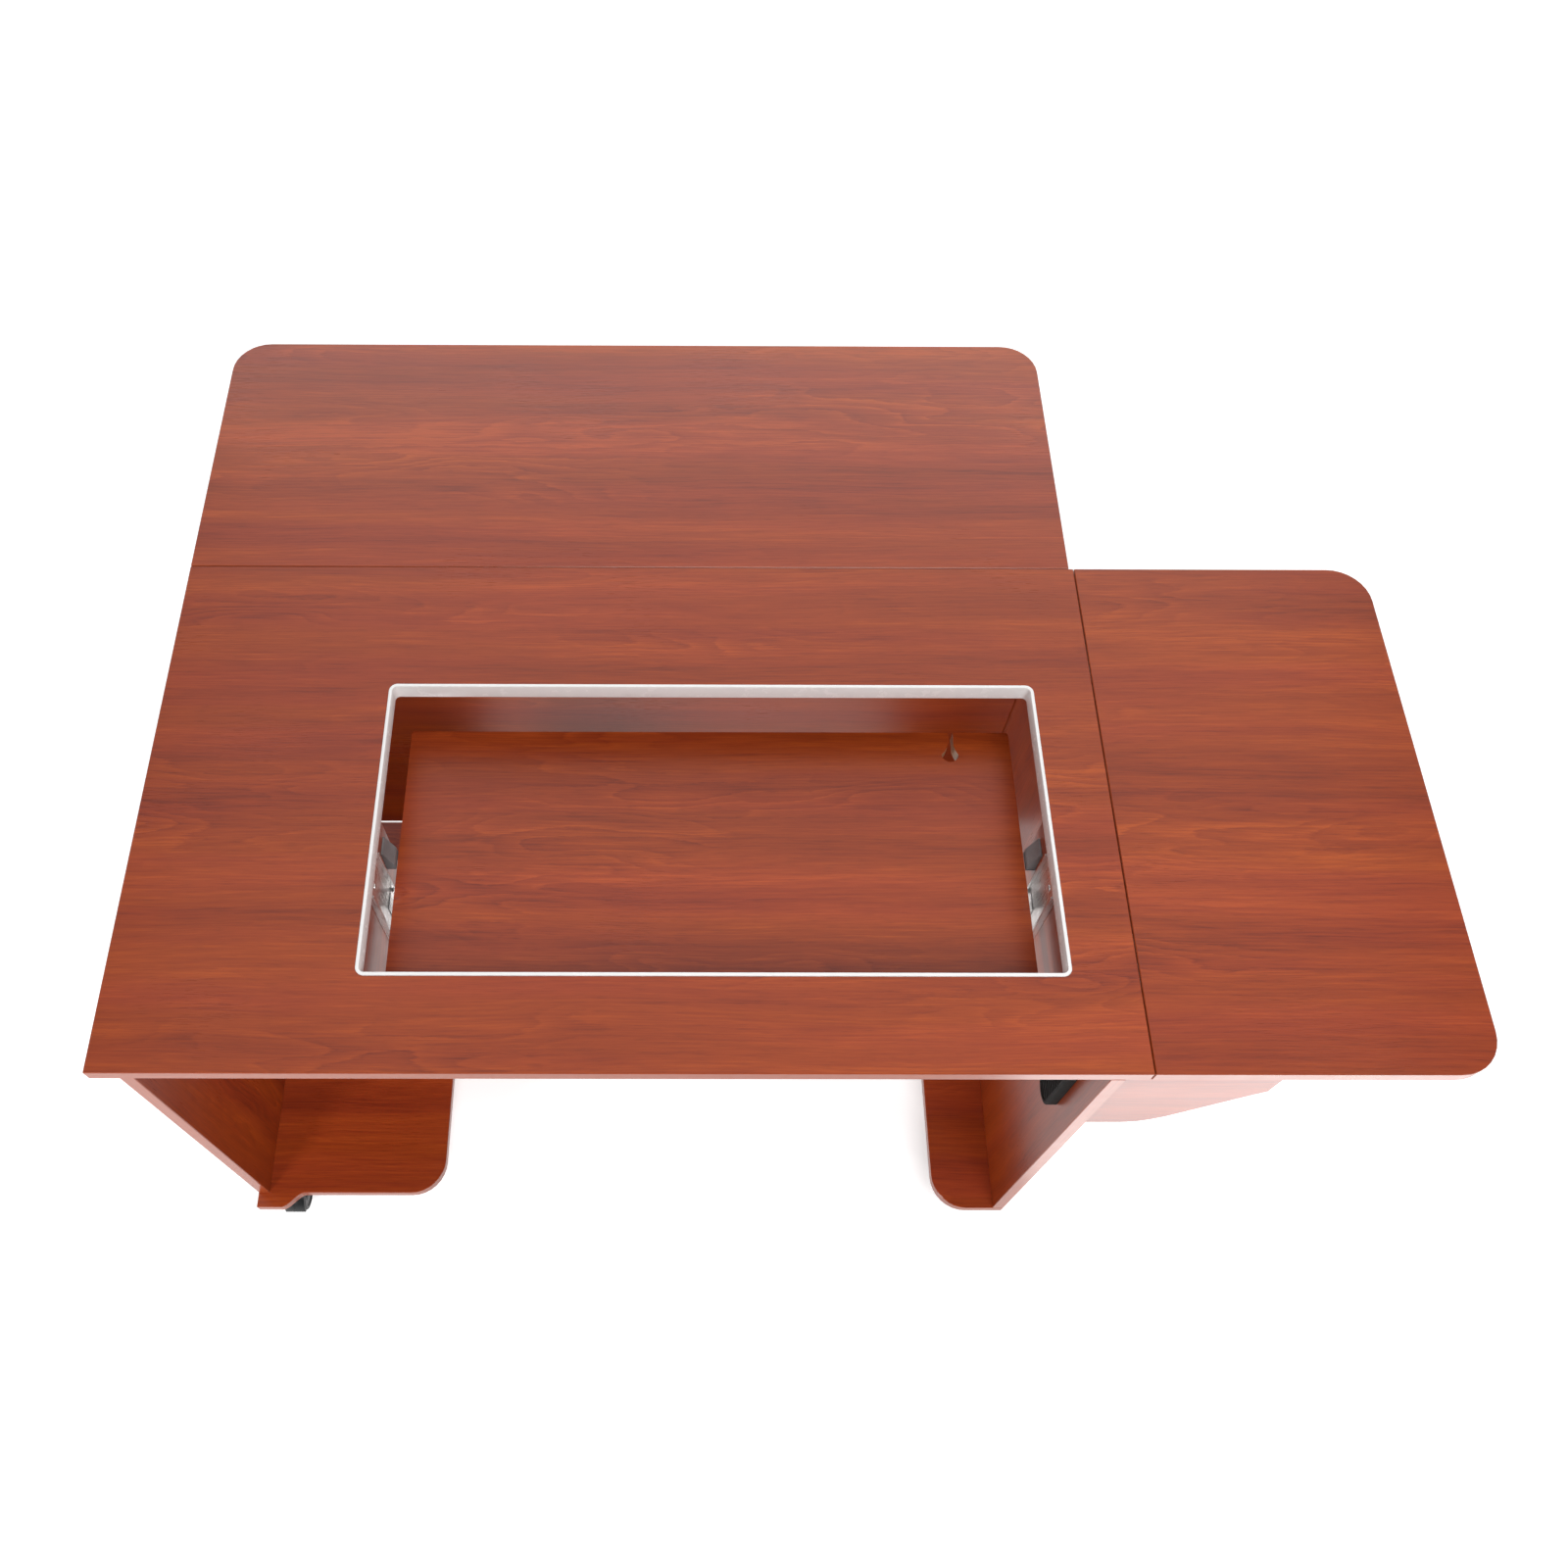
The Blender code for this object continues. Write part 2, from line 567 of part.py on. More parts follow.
def caster_meshes():
    gap_half = 0.0045
    web_half = 0.0035
    wheel_w = 0.0105
    wheel_x = gap_half + wheel_w / 2
    hub = (0, TRAIL, WHEEL_R)
    plate = box("caster_plate", (-0.021, -0.021, CASTER_H - 0.0028), (0.021, 0.021, CASTER_H - GAP), BLACK)
    join(plate, rod("caster_stem", (0, 0, 0.0525), 0.004, 0.012, cutter=True, sides=16))

    housing = rod("caster_housing", hub, 0.029, 2 * (gap_half + wheel_w), "x", BLACK, sides=32)
    cut(housing, box("hood_lower", (-0.1, -0.1, -0.1), (0.1, 0.1, WHEEL_R + 0.004), cutter=True))
    web_outline = arc((TRAIL, WHEEL_R), 0.0275, -20, 200, 12)
    web_outline += [(TRAIL - 0.006, 0.014), (TRAIL + 0.006, 0.014)]
    sideways = axes((0, 1, 0), (0, 0, 1), (1, 0, 0), (0, 0, 0))
    web = slab("hood_web", web_outline, 2 * web_half, sideways, cutter=True)
    join(housing, web, rod("hood_boss", (0, 0, 0.050), 0.0105, 0.0130, cutter=True))
    for side in (-1, 1):
        centre = (side * (web_half + 0.015), TRAIL, WHEEL_R)
        space = rod(f"wheel_space_{side}", centre, WHEEL_R + 0.0012, 0.030, "x", cutter=True, sides=32)
        cut(housing, space)
    cut(housing, rod("axle_bore", hub, 0.0045, 0.1, "x", cutter=True, sides=16))
    cut(housing, rod("stem_bore", (0, 0, 0.052), 0.0043, 0.0140, cutter=True, sides=16))

    wheels = rod("caster_wheels", hub, 0.0042, 2 * wheel_x, "x", BLACK, sides=16)
    for side in (-1, 1):
        centre = (side * wheel_x, TRAIL, WHEEL_R)
        wheel = rod(f"wheel_{side}", centre, WHEEL_R, wheel_w, "x", cutter=True, sides=32)
        round_edges(wheel, 0.0015)
        join(wheels, wheel)
    pedal = slab(
        "brake_pedal",
        [(0.0478, 0.0300), (0.0620, 0.0260), (0.0628, 0.0285), (0.0500, 0.0330), (0.0478, 0.0330)],
        0.016,
        sideways,
        GREY,
    )
    meshes = {}
    for obj in (plate, housing, wheels, pedal):
        graph = bpy.context.evaluated_depsgraph_get()
        mesh = bpy.data.meshes.new_from_object(obj.evaluated_get(graph))
        mesh.transform(obj.matrix_world)
        meshes[obj.name] = mesh
        bpy.data.objects.remove(obj, do_unlink=True)
    return meshes


CASTERS = {
    "front_left": ((0.048, 0.050), 180, False),
    "rear_left": ((0.048, 0.570), 0, True),
    "front_right": ((1.040, 0.060), 0, True),
    "rear_right": ((1.040, 0.570), 0, False),
}


def casters():
    meshes = caster_meshes()
    for place, (spot, turn, braked) in CASTERS.items():
        foot = at(*spot, TOP_Z)
        matrix = Matrix.Translation(foot) @ Matrix.Rotation(radians(turn), 4, "Z")
        kinds = {"plate": BLACK, "housing": BLACK, "wheels": BLACK}
        for kind, look in kinds.items():
            add(f"caster_{kind}_{place}", meshes[f"caster_{kind}"], look, matrix)
        if braked:
            add(f"brake_pedal_{place}", meshes["brake_pedal"], GREY, matrix)


def build():
    main_top()
    opening_trim()
    rear_leaf()
    side_leaf()
    side_leaf_hinges()
    rear_leaf_hinges()
    panels()
    left_base_board()
    right_foot_board()
    cable_port_cover()
    well()
    lift_platform()
    lift_side("left")
    lift_side("right")
    side_support()
    casters()


build()
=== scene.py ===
"""Looks of the sewing table: laminate, trim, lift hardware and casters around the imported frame."""

import json
import math

import bmesh
import bpy
from mathutils import Matrix, Vector


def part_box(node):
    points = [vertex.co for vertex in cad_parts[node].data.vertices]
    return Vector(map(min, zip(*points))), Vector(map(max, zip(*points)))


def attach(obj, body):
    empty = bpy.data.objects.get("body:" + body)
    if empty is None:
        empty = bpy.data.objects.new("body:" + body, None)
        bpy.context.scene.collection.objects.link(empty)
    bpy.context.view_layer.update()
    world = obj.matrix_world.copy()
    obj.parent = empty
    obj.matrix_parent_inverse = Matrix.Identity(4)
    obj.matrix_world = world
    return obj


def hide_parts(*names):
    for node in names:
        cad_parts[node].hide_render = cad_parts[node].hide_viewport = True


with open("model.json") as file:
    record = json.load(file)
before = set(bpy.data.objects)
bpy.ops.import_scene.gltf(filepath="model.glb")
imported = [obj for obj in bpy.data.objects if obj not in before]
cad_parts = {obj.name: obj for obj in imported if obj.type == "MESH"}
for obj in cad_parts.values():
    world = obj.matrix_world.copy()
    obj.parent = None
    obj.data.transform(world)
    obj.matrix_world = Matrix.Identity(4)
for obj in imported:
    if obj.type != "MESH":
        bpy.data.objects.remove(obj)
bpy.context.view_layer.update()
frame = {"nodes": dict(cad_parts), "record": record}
NODES = frame["nodes"]

TOP_LOW, TOP_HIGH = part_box("main_top")
CORNER = Vector((TOP_LOW.x, TOP_LOW.y, TOP_HIGH.z))  # the top's front left corner, on the working surface


def at(x, y, drop=0.0):
    """A point from its place on the top: x from the left edge, y from the front edge, drop below it."""
    return CORNER + Vector((x, y, -drop))


# Shader graphs


class Graph:
    """A material's node tree, with short calls for the nodes that the materials here use."""

    def __init__(self, name, **shader_values):
        self.material = bpy.data.materials.new(name)
        self.material.use_nodes = True
        self.tree = self.material.node_tree
        self.shader = self.tree.nodes["Principled BSDF"]
        for socket, value in shader_values.items():
            self.shader.inputs[socket.replace("_", " ")].default_value = value

    def add(self, kind, inputs=(), **settings):
        node = self.tree.nodes.new(kind)
        for key, value in settings.items():
            setattr(node, key, value)
        for socket, value in dict(inputs).items():
            self.put(node.inputs[socket], value)
        return node

    def put(self, socket, value):
        if isinstance(value, bpy.types.NodeSocket):
            self.tree.links.new(value, socket)
        else:
            socket.default_value = value

    def math(self, operation, a, b=0.0, c=0.0):
        node = self.add("ShaderNodeMath", operation=operation)
        for socket, value in zip(node.inputs, (a, b, c)):
            self.put(socket, value)
        return node.outputs[0]

    def object_space(self, output="Object"):
        return self.add("ShaderNodeTexCoord").outputs[output]

    def split(self, vector):
        return self.add("ShaderNodeSeparateXYZ", {0: vector}).outputs

    def pack(self, x, y, z=0.0):
        return self.add("ShaderNodeCombineXYZ", {0: x, 1: y, 2: z}).outputs[0]

    def noise(self, vector, detail=2.0, roughness=0.5, scale=1.0):
        inputs = {"Vector": vector, "Scale": scale, "Detail": detail, "Roughness": roughness}
        return self.add("ShaderNodeTexNoise", inputs).outputs["Fac"]

    def ramp(self, value, stops):
        """A colour ramp of (place, colour) stops, where a plain number stands for a grey."""
        node = self.add("ShaderNodeValToRGB", {"Fac": value})
        ramp = node.color_ramp
        while len(ramp.elements) < len(stops):
            ramp.elements.new(0.5)
        for element, (place, colour) in zip(ramp.elements, stops):
            element.position = place
            element.color = (*colour, 1.0) if isinstance(colour, tuple) else (colour,) * 3 + (1.0,)
        return node.outputs["Color"]

    def mix(self, share, a, b, blend="MIX"):
        node = self.add("ShaderNodeMix", data_type="RGBA", blend_type=blend)
        for socket, value in zip((node.inputs[0], node.inputs[6], node.inputs[7]), (share, a, b)):
            self.put(socket, value)
        return node.outputs[2]

    def spread(self, value, low, high, start=0.0, end=1.0):
        """value, from start to end, remapped to run from low to high."""
        inputs = {0: value, 1: start, 2: end, 3: low, 4: high}
        return self.add("ShaderNodeMapRange", inputs).outputs[0]

    def bump(self, height, strength, distance):
        inputs = {"Height": height, "Strength": strength, "Distance": distance}
        self.put(self.shader.inputs["Normal"], self.add("ShaderNodeBump", inputs).outputs[0])


# Materials


def laminate(name, grain, face, seed, cut=None):
    """Cherry laminate: a printed grain along one axis on the faces, and an edge band on all the other sides.

    Inside cut, a box of a low and a high corner, the sides show raw board."""
    g = Graph(name, IOR=1.5)
    xyz = g.split(g.object_space())
    along = xyz["XYZ".index(grain)]
    across = xyz[3 - "XYZ".index(grain) - "XYZ".index(face)]
    thick = xyz["XYZ".index(face)]

    def print_noise(length, width, detail, roughness=0.5, offset=0.0):
        """Noise whose features are this long along the grain and this wide across it, in metres."""
        vector = g.pack(g.math("DIVIDE", along, length), g.math("DIVIDE", across, width), seed + offset)
        return g.noise(vector, detail, roughness)

    # The rings follow a hilly height map, and a slow drift keeps them from running straight
    hill_rings, rings_per_metre, raggedness = 11.0, 22.0, 0.55
    drift = g.spread(print_noise(0.5, 0.2, 2.0, 0.5, 31.0), -0.012, 0.012)
    across = g.math("ADD", across, drift)
    hill = print_noise(0.26, 0.050, 1.5, 0.45)
    ragged = g.math("MULTIPLY", print_noise(0.020, 0.0030, 2.0, 0.6, 3.0), raggedness)
    even = g.math("MULTIPLY", across, rings_per_metre)
    phase = g.math("ADD", g.math("MULTIPLY_ADD", hill, hill_rings, even), ragged)
    ring = g.ramp(g.math("FRACT", phase), ((0.0, 0.25), (0.45, 0.6), (0.80, 1.0), (0.93, 0.0), (1.0, 0.25)))
    figured = g.spread(print_noise(0.55, 0.11, 1.0, 0.5, 7.0), 0.05, 1.0, 0.47, 0.66)
    band = print_noise(1.1, 0.045, 3.0, 0.6, 13.0)
    streak = print_noise(0.085, 0.0026, 3.0, 0.62, 17.0)
    pore = print_noise(0.022, 0.0007, 1.0, 0.5, 23.0)

    # Broad bands set the tone, and rings and streaks shift it by these shares
    ring_share, streak_share = 0.50, 1.25
    tone = g.spread(band, 0.0, 1.0, 0.2, 0.8)
    ring_weight = g.math("MULTIPLY", figured, ring_share)
    ring_part = g.math("MULTIPLY", g.math("SUBTRACT", ring, 0.5), ring_weight)
    streak_part = g.math("MULTIPLY", g.math("SUBTRACT", streak, 0.5), streak_share)
    tone = g.math("ADD", tone, g.math("ADD", ring_part, streak_part))
    colour = g.ramp(
        tone,
        (
            (0.0, (0.205, 0.027, 0.0065)),
            (0.35, (0.300, 0.043, 0.0075)),
            (0.65, (0.360, 0.056, 0.0085)),
            (1.0, (0.470, 0.082, 0.0110)),
        ),
    )
    rosy = g.spread(print_noise(0.8, 0.06, 2.0, 0.5, 41.0), 0.0, 0.75, 0.42, 0.64)
    colour = g.mix(rosy, colour, (1.02, 0.92, 1.55, 1.0), "MULTIPLY")
    dark_pore = g.ramp(pore, ((0.30, 0.80), (0.42, 1.0)))
    colour = g.mix(1.0, colour, dark_pore, "MULTIPLY")

    # The edge band has long streaks round the board
    around = g.math("MULTIPLY", g.math("ADD", along, across), 9.0)
    edge_vector = g.pack(around, g.math("MULTIPLY", thick, 420.0), seed)
    edge_stops = ((0.25, (0.28, 0.046, 0.012)), (0.75, (0.38, 0.070, 0.018)))
    edge_colour = g.ramp(g.noise(edge_vector, 2.0, 0.55), edge_stops)
    normal = g.split(g.object_space("Normal"))["XYZ".index(face)]
    on_face = g.math("GREATER_THAN", g.math("ABSOLUTE", normal), 0.8)
    if cut:
        chips = g.noise(g.object_space(), 2.0, 0.6, 900.0)
        raw = g.ramp(chips, ((0.35, (0.42, 0.20, 0.085)), (0.65, (0.66, 0.40, 0.22))))
        inside = [g.math("GREATER_THAN", v, low) for v, low in zip(xyz, cut[0])]
        inside += [g.math("LESS_THAN", v, high) for v, high in zip(xyz, cut[1])]
        share = inside[0]
        for test in inside[1:]:
            share = g.math("MULTIPLY", share, test)
        edge_colour = g.mix(share, edge_colour, raw)
    g.put(g.shader.inputs["Base Color"], g.mix(on_face, edge_colour, colour))

    wear = g.noise(g.object_space(), 2.0, 0.5, 5.0)
    rough = g.spread(wear, 0.25, 0.29, 0.3, 0.7)
    g.put(g.shader.inputs["Roughness"], g.math("MULTIPLY_ADD", pore, 0.05, rough))
    relief = g.math("ADD", g.math("MULTIPLY", pore, 0.5), g.math("MULTIPLY", streak, 0.5))
    g.bump(relief, 0.12, 0.0002)
    return g.material


def moulded(name, colour, roughness, speckle=0.04, grain=0.0004, **values):
    """Moulded plastic: one colour with a faint mottle, a fine texture, and a sheen that varies."""
    g = Graph(name, **values)
    coords = g.object_space()
    cloud = g.noise(coords, 3.0, 0.6, 60.0)
    low = tuple(c * (1 - speckle) for c in colour)
    high = tuple(min(1.0, c * (1 + speckle)) for c in colour)
    g.put(g.shader.inputs["Base Color"], g.ramp(cloud, ((0.3, low), (0.7, high))))
    g.put(g.shader.inputs["Roughness"], g.spread(cloud, roughness - 0.05, roughness + 0.06, 0.3, 0.7))
    g.bump(g.noise(coords, 2.0, 0.5, 1 / grain), 0.08, 0.0001)
    return g.material


def metal(name, colour, roughness):
    """Zinc or chrome steel, brushed along Z, with faint stains."""
    g = Graph(name, Metallic=1.0)
    xyz = g.split(g.object_space())
    lines_per_metre = (900.0, 900.0, 25.0)
    lines = g.noise(g.pack(*(g.math("MULTIPLY", v, n) for v, n in zip(xyz, lines_per_metre))), 2.0)
    stain = g.noise(g.object_space(), 4.0, 0.65, 35.0)
    low = tuple(c * 0.82 for c in colour)
    g.put(g.shader.inputs["Base Color"], g.ramp(stain, ((0.3, low), (0.65, colour))))
    g.put(g.shader.inputs["Roughness"], g.spread(lines, roughness - 0.06, roughness + 0.10, 0.3, 0.7))
    g.bump(lines, 0.10, 0.0001)
    return g.material


TRIM = moulded("trim_white", (0.95, 0.94, 0.93), 0.24, 0.02)
COVER = moulded("cover_black", (0.0075, 0.0068, 0.0062), 0.75, 0.2, IOR=1.3)
BLACK = moulded("plastic_black", (0.006, 0.007, 0.008), 0.34, 0.25, IOR=1.4)
GREY = moulded("nylon_grey", (0.20, 0.20, 0.205), 0.45, 0.10)
TREAD = moulded("tread_black", (0.006, 0.007, 0.009), 0.38, 0.2, IOR=1.4)
RUBBER = moulded("rubber_black", (0.018, 0.018, 0.018), 0.75, 0.2)
STEEL = metal("steel_zinc", (0.78, 0.76, 0.75), 0.30)
STEEL_DARK = metal("steel_dark", (0.16, 0.16, 0.165), 0.42)
CAP = moulded("cap_cherry", (0.27, 0.045, 0.014), 0.45, 0.08)
CHROME = metal("steel_chrome", (0.78, 0.78, 0.79), 0.14)


# The axis that each board's grain runs along, then the axis that its broad faces look along
BOARDS = {
    "main_top": "XZ",
    "rear_leaf": "XZ",
    "side_leaf": "XZ",
    "lift_platform": "XZ",
    "left_base_board": "XZ",
    "right_foot_board": "XZ",
    "left_side_panel": "ZX",
    "right_side_panel": "ZX",
    "well_left_cheek": "YX",
    "well_right_cheek": "YX",
    "back_panel": "XY",
    "well_front_rail": "XY",
    "side_support_board": "XY",
}


def paint(node, material):
    """Gives a node this one material."""
    node.data.materials.clear()
    node.data.materials.append(material)


def cord_cut():
    """The box round the cord hole and its slit, short of the platform's banded rear edge."""
    low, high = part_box("lift_platform")
    left_front, right = at(0.940, 0.420), at(0.980, 0.0)
    band, margin = 0.0008, 0.01
    box_low = (left_front.x, left_front.y, low.z - margin)
    box_high = (right.x, high.y - band, high.z + margin)
    return box_low, box_high


def paint_frame():
    """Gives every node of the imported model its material."""
    looks = {
        "zinc_steel": STEEL,
        "grey_plastic": GREY,
        "chrome_rod": CHROME,
        "black_plastic": BLACK,
        "caster_tread": TREAD,
        "rubber_pad": RUBBER,
        "white_trim": TRIM,
    }
    slots = {part["node"]: part["material_slot"] for part in frame["record"]["subparts"]}
    for number, (name, (grain, face)) in enumerate(BOARDS.items()):
        cut = cord_cut() if name == "lift_platform" else None
        paint(NODES[name], laminate(f"laminate_{name}", grain, face, 3.7 * number, cut))
    for name, node in NODES.items():
        if name not in BOARDS:
            paint(node, looks[slots[name]])


# Meshes


def piece(name, mesh, material, body, replaces=()):
    """An object of this mesh and material that rides on a body, and hides the parts it replaces."""
    mesh.materials.clear()
    mesh.materials.append(material)
    obj = bpy.data.objects.new(name, mesh)
    bpy.context.scene.collection.objects.link(obj)
    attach(obj, body)
    if replaces:
        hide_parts(*replaces)
    return obj


def finished(name, shape, smooth_angle=35):
    """The mesh of a shape that is built, shaded smooth except across edges sharper than this."""
    mesh = bpy.data.meshes.new(name)
    bmesh.ops.recalc_face_normals(shape, faces=shape.faces)
    shape.to_mesh(mesh)
    shape.free()
    mesh.shade_smooth()
    mesh.set_sharp_from_angle(angle=math.radians(smooth_angle))
    return mesh


def bridge(shape, rows):
    """Quads between each closed row of vertices and the next. All the rows are equally long."""
    for row, following in zip(rows, rows[1:]):
        for i in range(len(row)):
            j = (i + 1) % len(row)
            shape.faces.new((row[i], row[j], following[j], following[i]))


def sweep(shape, sections):
    """Quads between closed sections, the last joined to the first."""
    rows = [[shape.verts.new(p) for p in section] for section in sections]
    bridge(shape, rows + rows[:1])


def rounded_path(low, high, radius, steps=12):
    """Points and outward directions along a rectangle with round corners, counter-clockwise."""
    path = []
    centres = (
        (high[0] - radius, high[1] - radius),
        (low[0] + radius, high[1] - radius),
        (low[0] + radius, low[1] + radius),
        (high[0] - radius, low[1] + radius),
    )
    for quarter, centre in enumerate(centres):
        for i in range(steps + 1):
            angle = math.pi / 2 * (quarter + i / steps)
            out = Vector((math.cos(angle), math.sin(angle), 0))
            path.append((Vector((*centre, 0)) + out * radius, out))
    return path


def trim_frame():
    """The white L-section trim, with soft edges, swept round the opening."""
    low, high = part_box("opening_trim")
    flange, wall, inner_radius = 0.0040, 0.0015, 0.006
    surface = CORNER.z
    rise = high.z - surface
    bottom = low.z - surface
    step = -0.0007
    profile = ((0, bottom), (wall, bottom), (wall, step), (flange, step), (flange, rise * 0.6))
    profile += ((flange - 0.0002, rise * 0.9), (flange - 0.0006, rise), (0.0006, rise))
    profile += ((0.0002, rise * 0.9), (0, rise * 0.55))
    inner_low, inner_high = (low.x + flange, low.y + flange), (high.x - flange, high.y - flange)
    shape = bmesh.new()
    sections = []
    for point, out in rounded_path(inner_low, inner_high, inner_radius):
        sections.append([point + out * o + Vector((0, 0, surface + z)) for o, z in profile])
    sweep(shape, sections)
    piece("trim_frame", finished("trim_frame", shape), TRIM, "cabinet", ["opening_trim"])


def turned(shape, profile, matrix, steps=48):
    """Turns a profile of (radius, height) points about local Z, capping an end that isn't on the axis."""
    rings = []
    for radius, height in profile:
        if radius < 1e-6:
            rings.append([shape.verts.new(matrix @ Vector((0, 0, height)))])
            continue
        angles = [2 * math.pi * i / steps for i in range(steps)]
        ring = [Vector((radius * math.cos(a), radius * math.sin(a), height)) for a in angles]
        rings.append([shape.verts.new(matrix @ p) for p in ring])
    for low, high in zip(rings, rings[1:]):
        for i in range(steps):
            j = (i + 1) % steps
            corners = [low[i % len(low)], low[j % len(low)], high[j % len(high)], high[i % len(high)]]
            shape.faces.new(list(dict.fromkeys(corners)))
    for ring in (rings[0], rings[-1]):
        if len(ring) > 1:
            shape.faces.new(ring)


def absorb(shape, part):
    """Adds a finished part to a mesh that is being built."""
    mesh = bpy.data.meshes.new("part")
    part.to_mesh(mesh)
    part.free()
    shape.from_mesh(mesh)
    bpy.data.meshes.remove(mesh)


def soft_box(shape, low, high, radius=0.001, segments=3):
    """A box with rounded edges, added to a mesh that is being built."""
    part = bmesh.new()
    size = Vector(high) - Vector(low)
    middle = (Vector(high) + Vector(low)) / 2
    bmesh.ops.create_cube(part, size=1.0, matrix=Matrix.Translation(middle) @ Matrix.Diagonal((*size, 1)))
    edges = part.edges[:]
    bmesh.ops.bevel(part, geom=edges, offset=radius, segments=segments, profile=0.5, affect="EDGES")
    absorb(shape, part)


def plate(shape, outline, low, high, matrix, radius=0.0006, segments=2):
    """A flat plate from an outline, between two heights, with its rims rounded."""
    part = bmesh.new()
    base = part.faces.new([part.verts.new((x, y, low)) for x, y in outline])
    raised = bmesh.ops.extrude_face_region(part, geom=[base])["geom"]
    raised = [v for v in raised if isinstance(v, bmesh.types.BMVert)]
    bmesh.ops.translate(part, vec=(0, 0, high - low), verts=raised)
    rims = [e for e in part.edges if abs(e.verts[0].co.z - e.verts[1].co.z) < 1e-9]
    bmesh.ops.bevel(part, geom=rims, offset=radius, segments=segments, profile=0.5, affect="EDGES")
    part.transform(matrix)
    absorb(shape, part)


def facing(direction, place):
    """A placement whose local Z points along a direction."""
    return Matrix.Translation(place) @ Vector(direction).to_track_quat("Z", "Y").to_matrix().to_4x4()


def screw_head(shape, place, direction, radius=0.0036):
    """A pan head with a cross recess."""
    matrix = facing(direction, place)
    steps, rings = 32, (0.0, 0.16, 0.30, 0.44, 0.56, 0.62, 0.80, 0.93, 1.0, 1.0)
    slot, depth = 0.13 * radius, 0.34 * radius  # the recess: half a slot's width, and its depth
    rows = []
    for number, share in enumerate(rings):
        count = 1 if share == 0 else steps
        row = []
        for i in range(count):
            angle = 2 * math.pi * i / steps
            x, y = share * radius * math.cos(angle), share * radius * math.sin(angle)
            height = 0.0 if number == len(rings) - 1 else 0.55 * radius * math.sqrt(max(0.0, 1.08 - share**2))
            if share < 0.6 and min(abs(x), abs(y)) < slot:
                height -= depth * (1 - share)
            row.append(shape.verts.new(matrix @ Vector((x, y, height))))
        rows.append(row)
    for low, high in zip(rows, rows[1:]):
        for i in range(steps):
            j = (i + 1) % steps
            corners = [low[i % len(low)], low[j % len(low)], high[j], high[i]]
            shape.faces.new(list(dict.fromkeys(corners)))


def screws(name, body, spots, direction, radius):
    """One piece of equal screw heads that all face the same way."""
    shape = bmesh.new()
    for spot in spots:
        screw_head(shape, spot, direction, radius)
    piece(name, finished(name, shape, 50), STEEL, body)


WHEEL = 0.025  # a caster wheel's radius
TRAIL = 0.018  # from the swivel axis to the wheels' axle
HALF_GAP = 0.0045  # from a caster's middle to the inner side of a wheel
WIDTH = 0.0105  # one wheel's width


def caster_wheels(place, stand):
    """Two wheels on an axle, and a stepped cap on each hub. stand places the caster on the floor."""
    tread = [(0.0, 0.0), (0.021, 0.0), (0.0236, 0.0006), (0.0247, 0.0020), (WHEEL, 0.0042)]
    tread += [(WHEEL, WIDTH - 0.0038), (0.0246, WIDTH - 0.0018), (0.0234, WIDTH - 0.0006)]
    tread += [(0.0215, WIDTH - 0.0001), (0.0200, WIDTH - 0.0001), (0.0194, WIDTH - 0.0010)]
    tread += [(0.0186, WIDTH - 0.0016), (0.0110, WIDTH - 0.0016), (0.0102, WIDTH - 0.0008)]
    tread += [(0.0, WIDTH - 0.0008)]
    cap = [(0.0084, 0.0), (0.0084, 0.0004), (0.0078, 0.0010), (0.0058, 0.0013), (0.0052, 0.0010)]
    cap += [(0.0046, 0.0013), (0.0, 0.0016)]
    hub = Vector((0, TRAIL, WHEEL))
    wheels, caps = bmesh.new(), bmesh.new()
    for side in (-1, 1):
        out = Matrix.Rotation(side * math.pi / 2, 4, "Y")
        inner = hub + Vector((side * HALF_GAP, 0, 0))
        turned(wheels, tread, stand @ Matrix.Translation(inner) @ out)
        outer = hub + Vector((side * (HALF_GAP + WIDTH - 0.0012), 0, 0))
        turned(caps, cap, stand @ Matrix.Translation(outer) @ out)
    axle = [(0.0042, -HALF_GAP - 0.001), (0.0042, HALF_GAP + 0.001)]
    turn_x = Matrix.Rotation(math.pi / 2, 4, "Y")
    turned(wheels, axle, stand @ Matrix.Translation(hub) @ turn_x, 24)
    body, old = f"wheels_{place}", f"caster_wheels_{place}"
    piece(f"wheel_pair_{place}", finished("wheels", wheels), TREAD, body, [old])
    piece(f"hub_caps_{place}", finished("caps", caps), BLACK, body)


